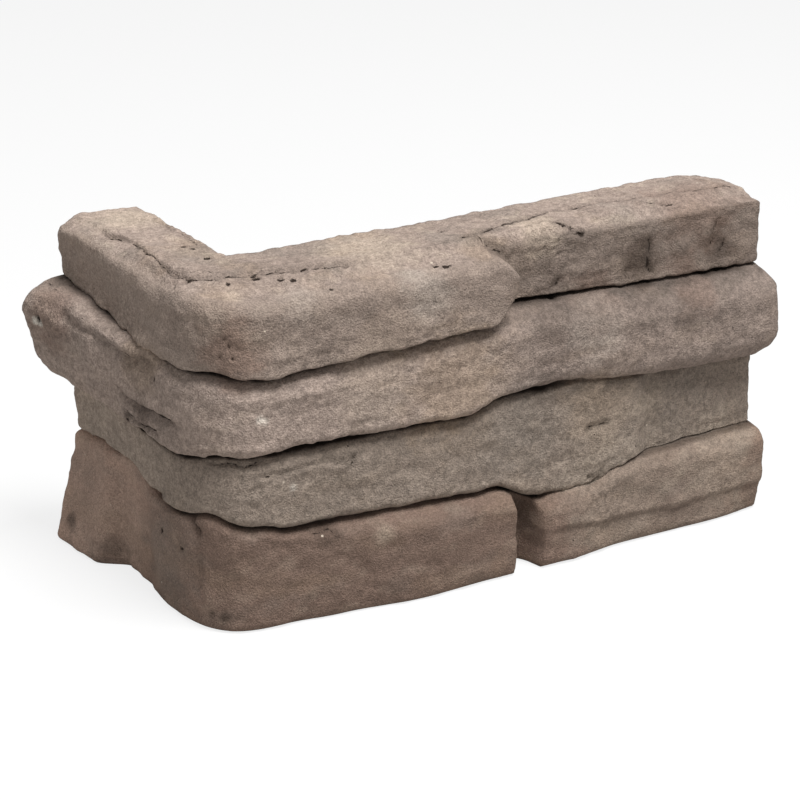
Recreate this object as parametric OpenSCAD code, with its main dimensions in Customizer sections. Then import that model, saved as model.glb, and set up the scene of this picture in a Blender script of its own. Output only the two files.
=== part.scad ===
// Stone cladding corner piece: one cast block, L-shaped in plan, that wraps the outer corner of a wall.
// The Z axis is the wall's corner edge, where the two flat backs meet, and z = 0 is the underside.
// The long leg runs along +X with its back on y = 0, and the return runs along +Y with its back on x = 0.
// Both faces are a stack of four split beds, and the outer skin is one closed grid of computed points.

/* [Legs] */
// Length of the long leg, from the inside corner to its end
long_leg = 169; // [120:1:300]
// Length of the return leg, from the inside corner to its end
return_leg = 60; // [45:1:140]
// Thickness of the long leg, from its back to the face of the beds
long_thick = 34; // [30:0.5:50]
// Thickness of the return leg, from its back to the face of the beds
return_thick = 24; // [22:0.5:40]
// Squareness of the outer corner in plan: 2 is an oval and 8 is nearly square
corner_square = 3; // [2:0.1:8]

/* [Beds] */
// Height of the bottom bed
bottom_bed = 28; // [22:0.5:45]
// Height of the second bed
second_bed = 23; // [16:0.5:40]
// Height of the third bed, the one that stands out most on the return
third_bed = 24; // [18:0.5:40]
// Height of the top bed
top_bed = 27; // [20:0.5:40]

/* [Joints] */
// Depth of the joints between beds, behind the face of the long leg
long_joint = 6.5; // [3:0.5:9]
// Depth of the joints between beds, behind the face of the return
return_joint = 4; // [2:0.5:7]
// Place of the upright joints along the long leg, from the inside corner
upright_joint = 76; // [55:1:100]
// Width of the upright joint in the bottom bed
upright_gap = 4.5; // [3:0.5:8]
// Depth of the upright joint in the bottom bed
upright_depth = 10; // [4:0.5:14]
// How far the top bed steps back beyond the upright joint
top_step = 9; // [3:0.5:10]

/* [Edges] */
// Length over which a bed's lower edge rounds off, for each millimetre that it stands out
lower_round = 0.9; // [0.4:0.05:1.2]
// Length over which a bed's upper edge rounds off, for each millimetre that it stands out
upper_round = 0.6; // [0.3:0.05:1.2]
// Rounding where the underside meets the face
foot_round = 2.5; // [1:0.5:5]
// Rounding of the front edge of the top
brow_round = 5; // [2:0.5:8]
// Rounding where the third bed's face meets the two ends, the largest one
end_round = 6; // [2:0.5:8]
// Rounding where the other beds' faces meet the two ends
tight_round = 2.5; // [1:0.5:6]
// Height of the small step that runs along the top
top_crack = 0.9; // [0.3:0.1:2]
// Height of the unevenness of the split faces
roughness = 0.45; // [0:0.05:0.8]

/* [Hidden] */

// Along the face, -1 is the return's end, the corner turns between 0 and 1, and 2 is the long leg's end.
// Each list below pairs such a place with millimetres that are added there, and between pairs it eases.

// Rise and fall of the three joints and of the top, from the stacked bed heights
lower_joint_rise = [[-1, 6.5], [-0.6, 7.5], [-0.35, 8], [-0.1, 4.5], [0.1, 2], [0.45, 5], [0.8, 1.5],
    [1.1, -1.2], [1.4, -2.5], [1.5, -7.5], [1.6, -6.5], [1.67, -3.5], [1.71, -0.8], [1.9, 1],
    [2, 1]];
middle_joint_rise = [[-1, 1.8], [-0.5, 1], [-0.1, -1.5], [0.2, -2], [0.5, 0.5], [0.8, 0], [1.25, 0],
    [1.34, -0.8], [1.42, 3], [1.56, 3.5], [1.7, 1], [1.86, -1], [2, -1]];
upper_joint_rise = [[-1, 6.5], [-0.65, 4.5], [-0.4, 1.5], [0, -0.5], [0.3, -2], [0.5, -1.2], [0.9, -4],
    [1.05, -3.2], [1.2, -1.5], [1.38, -0.3], [1.44, 3.5], [1.6, 3], [1.75, 2.2], [2, 2.6]];
top_rise = [[-1, -2], [-0.3, -2.7], [0, -3.3], [1, -3.3], [1.3, -2.8], [1.6, -1.5], [1.92, 0], [2, -1.5]];
// How far the front edge of the top lies below the top
brow_fall = [[-1, 0.3], [-0.7, 2], [-0.3, 3], [0, 3.5], [1, 4], [1.35, 4], [1.5, 3], [1.9, 4], [2, 2.5]];

// How far each bed stands out from the thickness of its leg
bottom_face = [[-1, 2.5], [-0.6, 2], [-0.45, -3], [-0.2, -2.5], [0, -0.5], [1, -1.5], [1.1, 0.5],
    [1.25, 3.5], [1.4, 2.5], [1.55, 2.5], [1.68, 0], [1.85, 0], [2, -1]];
second_face = [[-1, -1.5], [0, -1], [1, -1.5], [1.3, -1], [1.7, -2.5], [1.76, -6.5], [2, -8.5]];
third_face = [[-1, 13.5], [-0.75, 10.5], [-0.5, 7], [-0.25, 4], [0, 2], [1, 0], [1.2, 0.5], [1.6, -0.5],
    [1.9, 0.5], [2, 1.5]];
top_face = [[-1, 1], [-0.5, 0], [0, 0.5], [1, 0], [1.2, 1.5], [2, 0.5]];
// How far each bed's foot leans out past its top edge
bottom_lean = [[-1, 9], [-0.6, 6], [-0.45, 0], [1.5, 0], [1.9, 0], [2, -3]];
second_lean = [[-1, -1], [0, 0], [2, 1]];
third_lean = [[-1, -11], [-0.5, -4], [0, 0], [2, 0]];
top_lean = [[-1, -2], [0, 1], [2, 0]];
// Rounding of the front edge of the top at each place, as a share of its largest
brow_share = [[-1, 0.1], [-0.6, 0.35], [0, 0.9], [1.3, 1], [1.5, 0.5], [2, 0.7]];
// Extra depth of each joint
lower_joint_sink = [[-1, 1], [0, 0.5], [1, 0], [1.5, 0], [2, 3.5]];
middle_joint_sink = [[-1, -2.5], [-0.5, -1.5], [0, -0.5], [1, 0], [1.5, 0.5], [2, 4.5]];
upper_joint_sink = [[-1, 0], [0, 0], [1, 0.5], [1.38, 0.5], [1.46, 5], [2, 6.5]];
// Distance of the small step on the top from the backs, as a share of the thickness there
step_share = [[-1, 0.8], [-0.5, 0.72], [0, 0.75], [0.5, 0.5], [0.9, 0.45], [1.2, 0.62], [1.5, 0.72],
    [2, 0.5]];
// How far each bed runs past the nominal ends, from the bottom bed up
end_reach = [-0.5, -1, 2.5, -0.5];
// Length over which the beds reach their own ends
end_zone = 8;

height = bottom_bed + second_bed + third_bed + top_bed;
bed_foot = [0, bottom_bed, bottom_bed + second_bed, bottom_bed + second_bed + third_bed, height];
joint_rise = [[], lower_joint_rise, middle_joint_rise, upper_joint_rise];
joint_sink = [[], lower_joint_sink, middle_joint_sink, upper_joint_sink];
// How far each joint's floor lies out from the thickness of its leg, so always a negative amount
joint_face = [for (sink = joint_sink)
    [for (p = sink) [p[0], -p[1] - (p[0] <= 0 ? return_joint : long_joint)]]];
bed_face = [bottom_face, second_face, third_face, top_face];
bed_lean = [bottom_lean, second_lean, third_lean, top_lean];
bed_end_round = [tight_round, tight_round, end_round, tight_round];
// Heights inside a bed at which the skin has a row of points, as shares of the bed
bed_rows = [0, 0.05, 0.13, 0.25, 0.42, 0.6, 0.76, 0.88, 0.96];
// Shortest length over which any edge of a bed rounds off
least_round = 1;
// Height of the rounding of the top's front edge, for each millimetre of its depth
brow_height = 1.4;
// Length over which the top bed steps back, and how far its upright joint bows away towards the bed's edges
step_ease = 3;
step_bow = 7;
bow_power = 2.5;
// Width in which the small step on the top climbs, and the least room between it and the front edge
crack_slope = 1.2;
crack_room = 2;
// Share of the fall of the front edge that the top has lost halfway from the small step
fall_start = 0.33;
// Distance from the backs to the last row of points on the top
back_row = 3;
// Waves of the unevenness: degrees for each millimetre along and up, start in degrees, share of the height
waves = [[19, 7, 0, 1], [31, -23, 40, 0.8], [11, 37, 90, 0.7]];
// How far the raw block runs behind the backs before they are cut flat
cut_stock = 2;
// The ring that closes each end: its distance in front of the raw back, and its size as shares of the end
cap_front = 0.5;
cap_depth_share = 0.2;
cap_height_share = 0.9;
// Distances of the first rings of points from an end
end_steps = [0, 0.4, 1.2, 2.4, 4.2];
// How far the finer rings reach from the upright joints
near_joint = 9;
// Number of rings on the return, round the corner, up to the upright joints, round them, and beyond them
return_rings = 16;
corner_rings = 15;
first_rings = 17;
joint_rings = 21;
last_rings = 23;

// Value at place w of a list of pairs, easing from each pair to the next
function eased(pairs, w, i = 0) =
    w <= pairs[i][0] || i == len(pairs) - 1 ? pairs[i][1]
    : w >= pairs[i + 1][0] ? eased(pairs, w, i + 1)
    : let (f = (w - pairs[i][0]) / (pairs[i + 1][0] - pairs[i][0]))
      pairs[i][1] + (pairs[i + 1][1] - pairs[i][1]) * f * f * (3 - 2 * f);

// Direction from the wall's corner edge to place w on the corner, along a box of the two thicknesses
function corner_way(w) =
    let (p = w < 0.5 ? [-return_thick, -2 * w * long_thick] : [-2 * (1 - w) * return_thick, -long_thick])
    p / norm(p);

// Distance from the backs to a surface that stands off each leg by its thickness and the listed amount
function reach(pairs, w) =
    w <= 0 ? return_thick + eased(pairs, w)
    : w >= 1 ? long_thick + eased(pairs, w)
    : let (
        way = corner_way(w),
        a = abs(way.x) / (return_thick + eased(pairs, 0)),
        b = abs(way.y) / (long_thick + eased(pairs, 1))
      )
      pow(pow(a, corner_square) + pow(b, corner_square), -1 / corner_square);

// Share of an end's own reach that a place has, which grows over the last stretch of its leg
function end_share(w) =
    let (d = w < 0 ? (1 + w) * return_leg : w > 1 ? (2 - w) * long_leg : end_zone)
    eased([[0, 1], [end_zone, 0]], d);

// Point at place w, t millimetres out from the backs and z up, with the ends carried on by e millimetres
function at(w, t, z, e = 0) =
    w <= 0 ? [-t, -w * return_leg + e * end_share(w), z]
    : w >= 1 ? [(w - 1) * long_leg + e * end_share(w), -t, z]
    : [corner_way(w).x * t, corner_way(w).y * t, z];

// Point of the raw block behind the backs
function behind(w, z) =
    w <= 0 ? [cut_stock, -w * return_leg + 2 * cut_stock * (1 + w), z]
    : w >= 1 ? [(w - 1) * long_leg + 2 * cut_stock * (2 - w), cut_stock, z]
    : [cut_stock * (1 + w), cut_stock * (2 - w), z];

// Height of the joint under a bed, and of the front edge of the top
function joint_z(bed, w) = bed == 0 ? 0 : bed_foot[bed] + eased(joint_rise[bed], w);
function top_z(w) = height + eased(top_rise, w);
function brow_z(w) = top_z(w) - eased(brow_fall, w);

// Depth lost at distance d from an edge that rounds off over a length r, as a share of the whole
function round_off(d, r) = d >= r ? 0 : 1 - sqrt(1 - pow(1 - d / r, 2));

// Unevenness of the split faces, from waves that never line up
function uneven(w, z) =
    let (
        turn = return_thick + long_thick,
        s = w < 0 ? w * return_leg : w < 1 ? w * turn : turn + (w - 1) * long_leg,
        heights = [for (wave = waves) wave[3] * sin(wave[0] * s + wave[1] * z + wave[2])]
    )
    roughness * (heights[0] + heights[1] + heights[2]);

// Depth taken from the face by the upright joint in the bottom bed
function upright_cut(x) =
    let (d = max(0, upright_gap - abs(x - upright_joint - upright_gap / 2)))
    upright_depth * (1 - round_off(d, upright_gap));

// Depth by which the top bed steps back past its upright joint, which curves away towards its edges
function step_cut(x, v) =
    let (from = upright_joint - step_ease - step_bow * pow(abs(2 * v - 1), bow_power))
    eased([[from, 0], [from + step_ease, top_step]], x);

// Distance of a bed's face from the backs at place w and height share v, before its edges round off
function bed_reach(bed, w, v) =
    reach(bed_face[bed], w)
    + eased(bed_lean[bed], w) * (0.5 - v)
    - (bed == 0 && w > 1 ? upright_cut((w - 1) * long_leg) : 0)
    - (bed == 3 && w > 1 ? step_cut((w - 1) * long_leg, v) : 0);

// Distance of a joint's floor from the backs
function joint_reach(bed, w) = reach(joint_face[bed], w);

// Depth lost near the two ends, where each bed rounds off in plan
function end_loss(bed, w) =
    let (d = w < 0 ? (1 + w) * return_leg : w > 1 ? (2 - w) * long_leg : end_round, r = bed_end_round[bed])
    r * round_off(d, r);

// Rounding of the front edge of the top
function brow(w) = brow_round * eased(brow_share, w);

// One point of a bed's face
function face_point(bed, w, v) =
    let (
        low = joint_z(bed, w),
        high = bed == 3 ? brow_z(w) : joint_z(bed + 1, w),
        z = low + v * (high - low),
        out = bed_reach(bed, w, v),
        low_loss = bed == 0 ? foot_round : out - joint_reach(bed, w),
        high_loss = bed == 3 ? brow(w) : out - joint_reach(bed + 1, w),
        low_length = bed == 0 ? foot_round : max(least_round, lower_round * low_loss),
        high_length = max(least_round, (bed == 3 ? brow_height : upper_round) * high_loss),
        loss = low_loss * round_off(v * (high - low), low_length)
            + high_loss * round_off((1 - v) * (high - low), high_length)
    )
    at(w, out - loss - end_loss(bed, w) + uneven(w, z), z, end_reach[bed]);

// The closed ring of points at one place: up the face, back over the top and down behind the backs
function ring(w) =
    let (
        z = top_z(w),
        edge = bed_reach(3, w, 1) - brow(w) - end_loss(3, w),
        step = min(edge - crack_room, eased(step_share, w) * reach(top_face, w)),
        e = end_reach[3]
    )
    concat(
        [behind(w, 0)],
        [for (bed = [0:3]) for (v = bed_rows) face_point(bed, w, v)],
        [
            at(w, edge, brow_z(w), e),
            at(w, (edge + step) / 2, z - top_crack - fall_start * eased(brow_fall, w), e),
            at(w, step + crack_slope / 2, z - top_crack, e),
            at(w, step - crack_slope / 2, z, e),
            at(w, step / 2, z + uneven(w, 0) / 2, e),
            at(w, back_row, z, e),
            behind(w, z)
        ]
    );

// Places of the rings: even along each leg, and finer near the ends and round the upright joints
function even(from, to, n) = [for (i = [0:n - 1]) from + (to - from) * i / n];
return_places = concat(end_steps, even(end_round, return_leg, return_rings));
long_places = concat(
    even(0, upright_joint - 2 * near_joint, first_rings),
    even(upright_joint - 2 * near_joint, upright_joint + near_joint, joint_rings),
    even(upright_joint + near_joint, long_leg - end_round, last_rings),
    [long_leg - end_round],
    [for (i = [1:len(end_steps)]) long_leg - end_steps[len(end_steps) - i]]
);
places = concat(
    [for (y = return_places) y / return_leg - 1],
    even(0, 1, corner_rings),
    [for (x = long_places) 1 + x / long_leg]
);

// A ring drawn in towards the backs, which closes an end
function shrunk(points, w) =
    [for (p = points)
        let (t = cut_stock - (w < 0 ? p.x : p.y), lift = p.z - height / 2)
        at(w, cap_front - cut_stock + cap_depth_share * t, height / 2 + cap_height_share * lift)];

// The outer skin of the block, still rough behind its two backs
module raw_block() {
    rings = [for (w = places) ring(w)];
    per_ring = len(rings[0]);
    last = len(rings) - 1;
    start_ring = shrunk(rings[0], -1);
    end_ring = shrunk(rings[last], 2);
    loops = concat([start_ring], rings, [end_ring]);
    hubs = [at(-1, cap_front, height / 2), at(2, cap_front, height / 2)];
    points = concat([for (r = loops) each r], hubs);
    start_hub = len(points) - 2;
    end_hub = len(points) - 1;
    sides = [for (j = [0:last + 1]) for (i = [0:per_ring - 1])
        let (
            next = (i + 1) % per_ring,
            a = j * per_ring + i,
            b = j * per_ring + next,
            c = a + per_ring,
            d = b + per_ring
        )
        each [[a, b, c], [b, d, c]]];
    start_cap = [for (i = [0:per_ring - 1]) [start_hub, (i + 1) % per_ring, i]];
    end_cap = [for (i = [0:per_ring - 1])
        [end_hub, (last + 2) * per_ring + i, (last + 2) * per_ring + (i + 1) % per_ring]];
    polyhedron(points = points, faces = concat(sides, start_cap, end_cap), convexity = 6);
}

// The wall's corner, which leaves the two backs flat and square to each other
module wall_corner() {
    clear = 10;
    translate([0, 0, -clear]) cube([long_leg + 2 * clear, return_leg + 2 * clear, height + 2 * clear]);
}

module corner_stone() {
    color("#85776b")
    difference() {
        raw_block();
        wall_corner();
    }
}

corner_stone();
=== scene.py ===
"""Stone cladding corner piece: one casting with four split beds that wraps the outer corner of a wall.

Lengths in this file are millimetres unless a name says otherwise, and the mesh is written in metres.
The Z axis is the wall's corner edge, the long leg runs along +X and the return leg along +Y.
"""

import logging
import math
from dataclasses import dataclass, field
from enum import Enum

import bmesh
import bpy
import numpy as np
from mathutils import Euler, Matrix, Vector, noise

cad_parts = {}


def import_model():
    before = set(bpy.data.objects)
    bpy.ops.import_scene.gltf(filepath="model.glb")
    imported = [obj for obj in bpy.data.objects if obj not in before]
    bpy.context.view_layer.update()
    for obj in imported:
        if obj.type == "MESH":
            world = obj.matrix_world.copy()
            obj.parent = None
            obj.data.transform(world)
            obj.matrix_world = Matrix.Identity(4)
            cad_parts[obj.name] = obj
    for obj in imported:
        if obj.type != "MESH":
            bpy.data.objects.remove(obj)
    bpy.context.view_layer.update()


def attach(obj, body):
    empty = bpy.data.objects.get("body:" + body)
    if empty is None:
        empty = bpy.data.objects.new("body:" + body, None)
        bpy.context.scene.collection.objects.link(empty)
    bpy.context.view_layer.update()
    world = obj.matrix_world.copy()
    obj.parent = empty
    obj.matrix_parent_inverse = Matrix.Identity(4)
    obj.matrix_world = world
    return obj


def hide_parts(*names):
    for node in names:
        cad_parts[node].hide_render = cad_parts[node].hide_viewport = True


LOG = logging.getLogger("cladding_corner")
MM = 0.001
PIECE = "corner_stone"
SPLIT_REACH = 4.0

Pairs = list[tuple[float, float]]
Point = tuple[float, float, float]


def linear(hex_colour: str) -> tuple[float, float, float, float]:
    """Turns an sRGB hex colour into linear light.

    Args:
        hex_colour: six hex digits after a hash sign.

    Returns:
        Red, green, blue and an alpha of 1.
    """
    parts = [int(hex_colour[i : i + 2], 16) / 255 for i in (1, 3, 5)]
    light = [p / 12.92 if p <= 0.04045 else ((p + 0.055) / 1.055) ** 2.4 for p in parts]
    return (light[0], light[1], light[2], 1.0)


def add_node(tree: bpy.types.NodeTree, kind: str, settings: dict, links: dict) -> bpy.types.Node:
    """Adds one shader node.

    Args:
        tree: the node tree that gets the node.
        kind: the node's type name.
        settings: property names, or input names and numbers, with the values they get.
        links: input names or numbers with the output sockets that feed them.

    Returns:
        The new node.
    """
    node = tree.nodes.new(kind)
    for name, value in settings.items():
        if isinstance(name, str) and hasattr(node, name):
            setattr(node, name, value)
        else:
            node.inputs[name].default_value = value
    for name, socket in links.items():
        tree.links.new(socket, node.inputs[name])
    return node


def eased(pairs: Pairs, w: np.ndarray) -> np.ndarray:
    """Reads a list of pairs at each place and eases from each pair to the next.

    Args:
        pairs: places with their values, in rising order.
        w: places along the face.

    Returns:
        The value at each place.
    """
    places = np.array([p[0] for p in pairs])
    values = np.array([p[1] for p in pairs])
    k = np.clip(np.searchsorted(places, w, side="right") - 1, 0, len(pairs) - 2)
    f = np.clip((w - places[k]) / (places[k + 1] - places[k]), 0, 1)
    return values[k] + (values[k + 1] - values[k]) * f * f * (3 - 2 * f)


def round_off(d: np.ndarray, r: np.ndarray) -> np.ndarray:
    """Gives the share of depth that a round edge has lost at a distance from it.

    Args:
        d: distance from the edge.
        r: length over which the edge rounds off.

    Returns:
        1 at the edge, falling to 0 at distance r.
    """
    return 1 - np.sqrt(np.clip(1 - np.clip(1 - d / r, 0, 1) ** 2, 0, 1))


def smooth(x: np.ndarray, low: float, high: float) -> np.ndarray:
    """Eases from 0 at low to 1 at high."""
    f = np.clip((x - low) / (high - low), 0, 1)
    return f * f * (3 - 2 * f)


def cloud(points: np.ndarray, size: Point, seed: float, octaves: int) -> np.ndarray:
    """Samples layered noise at many points.

    Args:
        points: positions in millimetres, one a row.
        size: size of the largest lumps along X, Y and Z.
        seed: shift that gives each use its own pattern.
        octaves: number of layers, each half the size of the one before.

    Returns:
        One value a point, from about -1 to 1.
    """
    scaled = points / np.array(size) + seed
    return np.array([noise.fractal(Vector(p), 0.9, 2.0, octaves) for p in scaled])


class Ground(Enum):
    """What a patch on the stone's skin does to its colour."""

    DARK = "#4e423a"
    PALE = "#c9b8a4"
    LIME = "#ded6ca"
    OCHRE = "#a08a72"
    GREY = "#7d756d"
    RED = "#6f5446"


@dataclass(frozen=True)
class Crack:
    """A split in the skin along a path of points.

    Above the path the skin stands out by step and below it the skin lies back by as much. Its shade sets how dark the
    painted shade along the split is.
    """

    path: list[Point]
    width: float = 0.8
    depth: float = 0.7
    shade: float = 0.7
    step: float = 0
    run: float = 3
    wander: float = 0.8


@dataclass(frozen=True)
class Pit:
    """A round air hole in the skin, darkened with painted shade."""

    at: Point
    radius: float
    depth: float = 1.0
    shade: float = 1.0


@dataclass(frozen=True)
class Rough:
    """A place where the skin has crumbled and shows its sand."""

    at: Point
    radius: float
    strength: float


@dataclass(frozen=True)
class Patch:
    """A soft-edged blotch of another ground colour."""

    at: Point
    radius: float
    ground: Ground
    strength: float


CRACKS = [
    # The split that runs along the top of both legs
    Crack([(-19.5, 38, 98.5), (-17.5, 31, 98.5), (-17, 25, 99.5), (-17.5, 15, 99), (-18, 7, 98.5),
           (-18.5, -5, 96.5), (-17, -11, 97)], 0.7, 0.8, 0.6),
    Crack([(-17, -11, 97), (-13.5, -13, 97.5), (-9.5, -15.5, 97.5), (-2, -17, 97.5), (7, -18.5, 98),
           (14.5, -20, 98), (25, -22.5, 98)], 0.8, 0.8, 0.75),
    Crack([(25, -22.5, 98), (34, -22.5, 98.5), (44, -22, 99), (55, -20.5, 99), (64.5, -20, 99.5)], 0.6, 0.4, 0.3),
    Crack([(65, -19.5, 99.5), (74, -18, 100), (82, -16, 100), (90.5, -14, 100), (98, -13.5, 100.5),
           (112.5, -12.5, 100.5), (125, -15, 101)], 0.7, 0.8, 0.88),
    Crack([(125, -15, 101), (136, -15, 101.5), (148.5, -16.5, 102), (163, -17, 101)], 0.7, 0.6, 0.55),
    Crack([(93.5, -21.5, 100), (97.5, -23, 98), (101, -25.5, 96.5)], 0.6, 0.8, 1.1),
    Crack([(125, -18, 101), (130, -21, 100.5), (137, -21.5, 99)], 0.6, 0.5, 0.6),
    Crack([(-1.5, 44.5, 100), (-1.5, 35, 99.5), (-1.5, 25.5, 99.5), (-2.5, 13, 99)], 0.6, 0.5, 0.45),
    Crack([(-15, -9, 97.5), (-9, -12.5, 98), (0, -14, 98), (9, -15.5, 98)], 0.5, 0.3, 0.35),
    Crack([(-15, 9, 99), (-14, -2, 98.5), (-10.5, -8, 98)], 0.5, 0.3, 0.35),
    Crack([(84, -24.5, 97), (93, -25, 97), (101, -25.5, 96.5)], 0.5, 0.5, 0.3),
    Crack([(27, -16, 98.5), (40, -15, 99), (52, -15.5, 99)], 0.5, 0.3, 0.1),
    Crack([(106, -19, 100.5), (117, -20, 100.5), (124, -19, 101)], 0.5, 0.3, 0.1),
    # Split layers of the third bed on the return
    Crack([(-29.5, 50.5, 78.5), (-29.5, 40, 77.5), (-28.5, 30.5, 75), (-28, 19, 73.5), (-28, 13, 72.5),
           (-26.5, 5.5, 72), (-24, 0, 73.5)], 0.7, 0.3, 0.45, 1.5, 4, 0.4),
    Crack([(-32.5, 61, 78), (-30.5, 58, 79.5), (-29, 54, 79.5), (-28, 51.5, 79.5)], 0.8, 0.5, 0.8),
    Crack([(-28, 14.5, 61.5), (-27, 9, 59), (-26.5, -1, 58.5), (-25.5, -8.5, 59.5), (-25, -14.5, 59.5)],
          1.0, 1.4, 0.95, 1.3, 3, 0.4),
    Crack([(-27, 11, 55), (-26, 5, 53), (-26, -6, 54)], 0.9, 1.0, 0.9, 0.9, 2, 0.4),
    # Upright splits in the top bed's front
    Crack([(125.5, -26, 92), (126.5, -26, 89), (125.5, -26, 86), (126.5, -26, 82)], 0.7, 0.8, 0.75),
    Crack([(151, -25.5, 93.5), (149.5, -25, 89.5), (148.5, -25.5, 86.5)], 0.7, 0.6, 0.5),
    Crack([(154, -25, 86), (152, -25, 82)], 0.7, 0.6, 0.55),
    Crack([(93.5, -25.5, 84.5), (92.5, -26, 82)], 0.8, 0.9, 0.6),
    Crack([(70, -22.5, 97), (72.5, -24, 96), (74, -25, 95)], 0.9, 0.8, 0.7),
    # Layers of the second bed
    Crack([(-19, -25, 50), (-16.5, -27, 49.5), (-12, -30.5, 49), (-7.5, -30.5, 50)], 0.7, 0.6, 0.6, 0.5, 2),
    Crack([(-7.5, -32.5, 46), (1.5, -32.5, 45.5), (9.5, -32.5, 46), (17, -32, 45), (22, -33, 46)],
          0.6, 0.5, 0.35, -0.5, 3),
    Crack([(22, -33, 45.5), (20.5, -33, 43.5)], 0.8, 0.7, 0.6),
    Crack([(-22.5, 3, 35.5), (-21.5, 2, 33), (-23, -4, 34.5)], 0.8, 0.7, 0.6),
    Crack([(102, -32, 38.5), (105, -32, 39.5), (107.5, -31.5, 39.5)], 0.8, 1.0, 0.5),
    # Thin joint between the second and the bottom bed beyond the upright joint
    Crack([(102, -31, 24), (109, -28.5, 23.5), (114, -30, 24)], 0.8, 1.0, 0.85),
    # Layers of the bottom bed
    Crack([(90, -36.5, 12), (104, -35, 10), (118.5, -34, 9.5), (134, -34.5, 8.5), (150, -34.5, 9.5),
           (166, -32.5, 9.5)], 0.7, 0.1, -0.6, 0.7, 3, 0.3),
    Crack([(-20.5, -18, 31), (-20.5, -20.5, 28)], 1.0, 1.2, 0.8),
    Crack([(-20.5, -20.5, 28), (-21, -21, 20.5), (-21.5, -21, 11.5)], 1.2, 0.4, 0.2),
    Crack([(8, -32, 26), (12.5, -32, 26), (15, -34, 24)], 0.8, 0.6, 0.5),
]

PITS = [
    Pit((-7, 12.5, 99), 0.9), Pit((-5.5, 10, 99), 1.0), Pit((-5.5, 0.5, 99), 1.4), Pit((-1, -19, 97), 1.6, 1.6),
    Pit((5, -22.5, 97), 1.4), Pit((8, -24, 96.5), 1.4), Pit((15.5, -31, 94), 0.8), Pit((-9.5, -20, 96.5), 0.7),
    Pit((62.5, -11, 99.5), 1.4), Pit((121, -5.5, 101), 1.3), Pit((49, -30, 95.5), 1.1), Pit((51.3, -31, 95), 1.3), Pit((52.8, -31.5, 94.6), 0.8),
    Pit((82, -16.5, 100), 1.4, 1.4), Pit((101, -25.5, 96.5), 1.1), Pit((24.5, -23, 97.5), 1.0),
    Pit((-15, -31, 83.5), 0.9, 0.6, 0.35), Pit((-14.5, -31.5, 80), 0.8, 0.6, 0.35), Pit((-17.5, -29.5, 80.5), 0.7, 0.6, 0.35),
    Pit((-13, -31.5, 82.5), 0.6, 0.6, 0.35), Pit((-16, -30.5, 85.5), 0.6, 0.6, 0.35), Pit((-23, -3, 23), 1.0), Pit((-23, -13.5, 21.5), 0.9),
    Pit((-26, -6, 69), 1.0), Pit((84.5, -32, 75.5), 1.0, 0.6, 0.35), Pit((87.5, -32, 75), 0.9, 0.6, 0.35), Pit((101, -32.5, 20), 0.9, 0.6, 0.35),
    Pit((-26, 11, 52), 1.1), Pit((-36.5, 50.5, 72.5), 1.3, 1.2),
]

ROUGHS = [
    Rough((-17, -8, 97.5), 8, 1.7), Rough((-17, 20, 99), 6, 0.6), Rough((5, -18, 98), 10, 1.1),
    Rough((85, -17, 100), 14, 1.0), Rough((92, -25, 95), 9, 1.2), Rough((-27, 3, 70), 12, 1.5),
    Rough((-23, 12, 76), 13, 1.3), Rough((-22, 31, 77), 9, 1.0), Rough((110, -14, 100.5), 10, 0.7),
    Rough((-27, 0, 58), 9, 0.9), Rough((5, -34, 74), 16, 0.5), Rough((45, -33, 73), 16, 0.8),
    Rough((66, -33, 69), 10, 0.8), Rough((-15, -29, 47), 10, 0.6), Rough((90, -33, 38), 20, 0.4),
    Rough((105, -34, 16), 16, 0.7), Rough((150, -34, 18), 18, 0.5), Rough((-30, 40, 76), 8, 0.6),
]

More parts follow.
